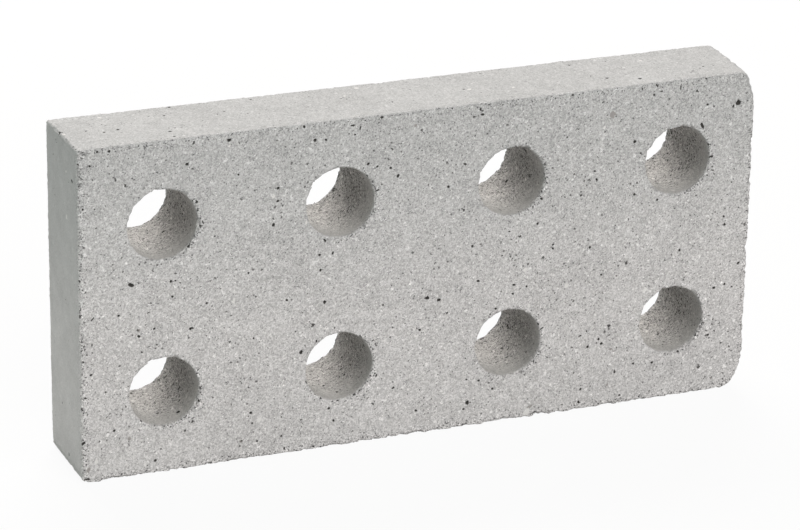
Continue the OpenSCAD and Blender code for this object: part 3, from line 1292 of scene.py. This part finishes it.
@dataclass(frozen=True)
class FiredRefractory:
    """The finish of the block: grey sandy body with pale and dark grains and open pores.

    Attributes:
        body: colour of the body near its bottom edge.
        top_shade: painted shade, a darker and cooler colour of the body near its top edge.
        bore: colour of the holes' walls.
        pore: painted shade deep in a pore, near black.
        stone: colour of the few large dark grains.
        pale: colour of the large pale grains.
        turn: turn of the grain's pattern, so that it lies square to no face.
        top_shade_start: share of the height at which the painted shade near the top begins to show.
        right_end_shade: painted shade, how much darker the right end is than the left.
        roughness: how matt it is.
        specular: how much it shines.
        sand: the finest noise of the body, which its relief shares.
        sand_rough: how strong the sand's finer layers are.
        relief: height of the sand, in millimetres.
        pore_depth: depth of the small pores, in millimetres.
        medium: grains that just show.
        fine: grains that make the speckle.
        mottle: soft spots, a few grains wide.
        drift: slow patches of tone.
        dark_fine: which fine grains are dark, and by how much.
        bright_fine: which fine grains are bright.
        bright_medium: which medium grains are bright.
        chafe_dark: how many more fine grains are dark where the skin is chafed.
        chafe_speckle: how much stronger the speckle is there.
        chafe_open: how many more small pores are open there.
        smooth_closed: how many fewer are open where the skin isn't sandy.
        cluster_size: width of the clusters of small pores.
        cluster: how they gather in the clusters.
        ragged_size: width of the notches in a small pore's edge.
        ragged: how deep those notches go.
        pore_edge: width of a small pore's soft edge.
        pore_sorts: the sizes of the small pores.
        stone_edge: how a dark grain of the mesh takes its colour.
        pale_edge: how a pale grain of the mesh does.
        pore_shade_edge: how a pore of the mesh takes its painted shade.
    """

    body: Colour = (0.535, 0.525, 0.523, 1.0)
    # Painted shade: the body darker and cooler near the top edge
    top_shade: Colour = (0.445, 0.447, 0.445, 1.0)
    bore: Colour = (0.446, 0.438, 0.423, 1.0)
    # Painted shade, near black, in the pores
    pore: Colour = (0.035, 0.033, 0.030, 1.0)
    stone: Colour = (0.285, 0.268, 0.256, 1.0)
    pale: Colour = (0.71, 0.70, 0.685, 1.0)
    turn: tuple[float, float, float] = (0.6, 0.4, 0.9)
    top_shade_start: float = 0.25
    # Painted shade towards the right end
    right_end_shade: float = 0.04
    roughness: float = 0.92
    specular: float = 0.25
    sand: Patches = Patches(0.65, 0.30, 3.0)
    sand_rough: float = 0.75
    relief: float = 0.20
    pore_depth: float = 0.25
    medium: Patches = Patches(0.85, 0.06)
    fine: Patches = Patches(0.36, 0.55)
    mottle: Patches = Patches(2.2, 0.16)
    drift: tuple[Patches, ...] = (Patches(4.5, 0.21), Patches(14.0, 0.15), Patches(60.0, 0.07, 2.0))
    dark_fine: Span = (0.0, 0.07, -0.50, 0.0)
    bright_fine: Span = (0.955, 0.985, 0.0, 0.36)
    bright_medium: Span = (0.96, 1.0, 0.0, 0.34)
    chafe_dark: float = 0.17
    chafe_speckle: float = 0.6
    chafe_open: float = 0.12
    smooth_closed: float = 0.25
    cluster_size: float = 9.0
    cluster: Span = (0.35, 0.70, 0.05, -0.22)
    ragged_size: float = 0.4
    ragged: Span = (0.2, 0.8, 0.3, 1.7)
    pore_edge: float = 0.08
    pore_sorts: tuple[PoreSort, ...] = (PoreSort(1.25, 0.64, 0.75, 0.75), PoreSort(3.2, 0.77, 1.5, 0.9))
    stone_edge: Span = (0.05, 0.5, 0.0, 0.85)
    pale_edge: Span = (0.05, 0.6, 0.0, 0.8)
    pore_shade_edge: Span = (0.02, 0.4, 0.0, 0.97)

    def material(self) -> bpy.types.Material:
        """Makes the node material."""
        made = bpy.data.materials.new("fired_refractory")
        made.use_nodes = True
        desk = NodeDesk(made.node_tree)
        place = desk.add("ShaderNodeTexCoord").outputs["Object"]
        turned = desk.add("ShaderNodeMapping")
        desk.feed(turned.inputs["Vector"], place)
        turned.inputs["Rotation"].default_value = self.turn
        turned.inputs["Scale"].default_value = (1.0 / MM, 1.0 / MM, 1.0 / MM)
        spot = turned.outputs[0]
        grain = desk.attribute("grain")
        chafe = desk.attribute("chafe")
        axes = desk.add("ShaderNodeSeparateXYZ")
        desk.feed(axes.inputs[0], place)

        sand = desk.noise(spot, self.sand.size, self.sand.detail, self.sand_rough)
        tone = self._tone(desk, spot, sand, grain, chafe)
        # Painted shade: the tone darkens evenly from the left end to the right end
        fired = desk.span(axes.outputs["X"], CAD_BOX[0][0], CAD_BOX[1][0], self.right_end_shade / 2, -self.right_end_shade / 2)
        tone = desk.maths("ADD", tone, fired)
        pores = self._pores(desk, spot, chafe, grain)
        top = CAD_BOX[1][2]
        # Painted shade: the body's colour turns darker and cooler towards the top edge
        rise = desk.span(axes.outputs["Z"], self.top_shade_start * top, top, 0.0, 1.0)
        colour = desk.mix(rise, self.body, self.top_shade)
        colour = desk.mix(desk.attribute("inside"), colour, self.bore)
        grey = desk.add("ShaderNodeCombineColor")
        for target in grey.inputs:
            desk.feed(target, tone)
        colour = desk.mix(1.0, colour, grey.outputs[0], "MULTIPLY")
        colour = desk.mix(desk.span(desk.attribute("stone"), *self.stone_edge), colour, self.stone)
        colour = desk.mix(desk.span(desk.attribute("pale"), *self.pale_edge), colour, self.pale)
        # Painted shade: near black in the pores of the finish and in those sunk into the mesh
        colour = desk.mix(pores, colour, self.pore)
        colour = desk.mix(desk.span(desk.attribute("cavity"), *self.pore_shade_edge), colour, self.pore)

        height = desk.maths("MULTIPLY", desk.centred(sand, self.relief), grain)
        height = desk.maths("MULTIPLY_ADD", pores, -self.pore_depth, height)
        bump = desk.add("ShaderNodeBump")
        bump.inputs["Strength"].default_value = 1.0
        bump.inputs["Distance"].default_value = MM
        desk.feed(bump.inputs["Height"], height)

        shader = desk.add("ShaderNodeBsdfPrincipled")
        shader.inputs["Roughness"].default_value = self.roughness
        shader.inputs["Specular IOR Level"].default_value = self.specular
        desk.feed(shader.inputs["Base Color"], colour)
        desk.feed(shader.inputs["Normal"], bump.outputs[0])
        output = desk.add("ShaderNodeOutputMaterial")
        desk.feed(output.inputs["Surface"], shader.outputs[0])
        return made

    def _tone(self, desk: NodeDesk, spot: Socket, sand: Socket, grain: Socket, chafe: Socket) -> Socket:
        """Mixes the tones of sand, grains and slow patches.

        Args:
            desk: where the nodes go.
            spot: the place in millimetres.
            sand: fine noise that the relief shares.
            grain: how sandy the skin is.
            chafe: how chafed the skin is.

        Returns:
            A factor about 1 for the body's colour.
        """
        medium, lot, _ = desk.grains(spot, self.medium.size)
        fine, odd, _ = desk.grains(spot, self.fine.size)
        dark = desk.maths("MULTIPLY_ADD", chafe, -self.chafe_dark, odd)
        speckle = desk.total((
            desk.centred(sand, self.sand.swing),
            desk.centred(medium, self.medium.swing),
            desk.centred(fine, self.fine.swing),
            desk.span(dark, *self.dark_fine),
            desk.span(odd, *self.bright_fine),
            desk.span(lot, *self.bright_medium),
            desk.patches(spot, self.mottle),
        ))
        strength = desk.maths("MULTIPLY_ADD", chafe, self.chafe_speckle, grain)
        speckle = desk.maths("MULTIPLY", speckle, strength)
        drift = desk.total(desk.patches(spot, patches) for patches in self.drift)
        return desk.maths("ADD", desk.maths("ADD", speckle, drift), 1.0)

    def _pores(self, desk: NodeDesk, spot: Socket, chafe: Socket, grain: Socket) -> Socket:
        """Strews open pores of two sizes, in loose clusters and along chafed edges.

        Args:
            desk: where the nodes go.
            spot: the place in millimetres.
            chafe: how chafed the skin is.
            grain: how sandy the skin is.

        Returns:
            How much painted shade there is: near 1 inside a pore, 0 outside.
        """
        cluster = desk.span(desk.noise(spot, self.cluster_size), *self.cluster)
        ragged = desk.span(desk.noise(spot, self.ragged_size), *self.ragged)
        shut = desk.maths("MULTIPLY_ADD", chafe, -self.chafe_open, cluster)
        shut = desk.maths("ADD", shut, self.smooth_closed)
        shut = desk.maths("MULTIPLY_ADD", grain, -self.smooth_closed, shut)
        found = []
        for sort in self.pore_sorts:
            chance, _, reach = desk.grains(spot, sort.size)
            spare = desk.maths("SUBTRACT", desk.maths("SUBTRACT", chance, shut), sort.closed)
            mouth = desk.maths("MULTIPLY", desk.maths("MAXIMUM", spare, 0.0), sort.widest)
            rim = desk.maths("SUBTRACT", desk.maths("MULTIPLY", mouth, ragged), reach)
            found.append(desk.span(rim, 0.0, self.pore_edge, 0.0, sort.dark))
        return desk.maths("MAXIMUM", *found)


@dataclass(frozen=True)
class Softbox:
    """A square soft light.

    Attributes:
        name: its object's name.
        place: where it stands, in metres.
        width: its side.
        power: its power in watts.
        colour: its colour.
    """

    name: str
    place: tuple[float, float, float]
    width: float
    power: float
    colour: tuple[float, float, float] = (1.0, 0.985, 0.965)

    def build(self, aim: Vector) -> bpy.types.Object:
        """Makes the light and turns it to a point.

        Args:
            aim: the point that it faces.

        Returns:
            The light's object.
        """
        light = bpy.data.lights.new(self.name, "AREA")
        light.size = self.width
        light.energy = self.power
        light.color = self.colour
        lamp = bpy.data.objects.new(self.name, light)
        lamp.visible_camera = False
        bpy.context.scene.collection.objects.link(lamp)
        lamp.location = self.place
        lamp.rotation_euler = (aim - lamp.location).to_track_quat("-Z", "Y").to_euler()
        return lamp


@dataclass(frozen=True)
class Viewpoint:
    """The camera.

    Attributes:
        azimuth: turn to the right of straight ahead, in degrees.
        elevation: height above level, in degrees.
        roll: tilt of the frame, in degrees.
        distance: from the camera to its aim, in metres.
        aim: the point in the middle of the frame.
        lens: focal length for a sensor 36 mm wide.
        clip_start: the nearest that it sees, in metres.
    """

    azimuth: float = -22.573
    elevation: float = 20.895
    roll: float = 0.864
    distance: float = 1.1259
    aim: tuple[float, float, float] = (-0.0023, 0.0, 0.0503)
    lens: float = 164.83
    clip_start: float = 0.01

    def build(self) -> bpy.types.Object:
        """Makes the camera and gives it to the scene."""
        turn, rise = math.radians(self.azimuth), math.radians(self.elevation)
        back = Vector((math.sin(turn) * math.cos(rise), -math.cos(turn) * math.cos(rise), math.sin(rise)))
        data = bpy.data.cameras.new("portrait")
        data.lens = self.lens
        data.clip_start = self.clip_start
        camera = bpy.data.objects.new("portrait", data)
        bpy.context.scene.collection.objects.link(camera)
        level = (-back).to_track_quat("-Z", "Y").to_matrix().to_4x4()
        tilt = Matrix.Rotation(math.radians(self.roll), 4, "Z")
        camera.matrix_world = Matrix.Translation(Vector(self.aim) + back * self.distance) @ level @ tilt
        bpy.context.scene.camera = camera
        return camera


@dataclass
class Studio:
    """The pale floor, the soft lights and the white surroundings.

    Attributes:
        floor_width: side of the floor, in metres.
        floor_colour: colour of the floor as the light falls on it.
        self_lit_share: how much of the floor shows as plain white, so that the shadow stays soft.
        sky_colour: colour of the light from all round.
        sky: strength of that light.
        aim: the point that the lights face.
        lights: the soft lights.
    """

    floor_width: float = 1.0
    floor_colour: Colour = (0.72, 0.72, 0.72, 1.0)
    self_lit_share: float = 0.93
    sky_colour: Colour = (0.975, 1.0, 0.985, 1.0)
    sky: float = 0.14
    aim: tuple[float, float, float] = (0.0, 0.0, 0.05)
    lights: tuple[Softbox, ...] = (
        Softbox("front_key", (0.20, -1.45, 1.05), 1.7, 30.2),
        Softbox("back_key", (0.25, 1.25, 1.20), 1.2, 36.0, (1.0, 0.955, 0.925)),
        Softbox("end_fill", (-0.75, 0.0, 0.25), 0.4, 0.78, (0.84, 1.0, 0.91)),
    )

    def build(self) -> None:
        """Makes the whole studio."""
        self._floor()
        self._sky()
        for light in self.lights:
            light.build(Vector(self.aim))

    @staticmethod
    def _seen_share(desk: NodeDesk) -> Socket:
        """Tells where the surroundings show by themselves: to the camera, in gloss and through glass."""
        path = desk.add("ShaderNodeLightPath")
        seen = desk.maths("MAXIMUM", path.outputs["Is Camera Ray"], path.outputs["Is Glossy Ray"])
        return desk.maths("MAXIMUM", seen, path.outputs["Is Transmission Ray"])

    def _floor(self) -> None:
        """Makes the floor, which keeps the block's shadow."""
        shape = bmesh.new()
        bmesh.ops.create_grid(shape, x_segments=1, y_segments=1, size=self.floor_width / 2)
        mesh = bpy.data.meshes.new("floor")
        shape.to_mesh(mesh)
        shape.free()
        floor = bpy.data.objects.new("floor", mesh)
        bpy.context.scene.collection.objects.link(floor)
        paint = bpy.data.materials.new("floor_paint")
        paint.use_nodes = True
        desk = NodeDesk(paint.node_tree)
        matt = desk.add("ShaderNodeBsdfDiffuse")
        matt.inputs["Color"].default_value = self.floor_colour
        glow = desk.add("ShaderNodeEmission")
        blend = desk.add("ShaderNodeMixShader")
        desk.feed(blend.inputs[0], desk.maths("MULTIPLY", self._seen_share(desk), self.self_lit_share))
        desk.feed(blend.inputs[1], matt.outputs[0])
        desk.feed(blend.inputs[2], glow.outputs[0])
        desk.feed(desk.add("ShaderNodeOutputMaterial").inputs["Surface"], blend.outputs[0])
        mesh.materials.append(paint)

    def _sky(self) -> None:
        """Makes the surroundings: white where they show, dimmer and cooler as a light."""
        world = bpy.data.worlds.new("studio")
        world.use_nodes = True
        desk = NodeDesk(world.node_tree)
        seen = self._seen_share(desk)
        back = desk.add("ShaderNodeBackground")
        desk.feed(back.inputs["Strength"], desk.maths("MULTIPLY_ADD", seen, 1.0 - self.sky, self.sky))
        desk.feed(back.inputs["Color"], desk.mix(seen, self.sky_colour, (1.0, 1.0, 1.0, 1.0)))
        desk.feed(desk.add("ShaderNodeOutputWorld").inputs["Surface"], back.outputs[0])
        bpy.context.scene.world = world


def report(pieces: Iterable[bpy.types.Object]) -> None:
    """Logs the size of each piece.

    Args:
        pieces: the finished pieces.
    """
    for piece in pieces:
        mesh = piece.data
        mesh.calc_loop_triangles()
        log.info("%s: %d points, %d triangles", piece.name, len(mesh.vertices), len(mesh.loop_triangles))


def main() -> None:
    """Builds the block, dresses it and sets up the studio."""
    logging.basicConfig(level=logging.INFO, format="%(name)s: %(message)s")
    bpy.context.scene.view_settings.view_transform = "Standard"
    Viewpoint().build()
    slip = BrickSlip.from_frame()
    body = slip.build()
    slip.dress(body, FiredRefractory().material())
    report([body])
    Studio().build()
    bpy.context.view_layer.update()


if __name__ == "__main__":
    main()
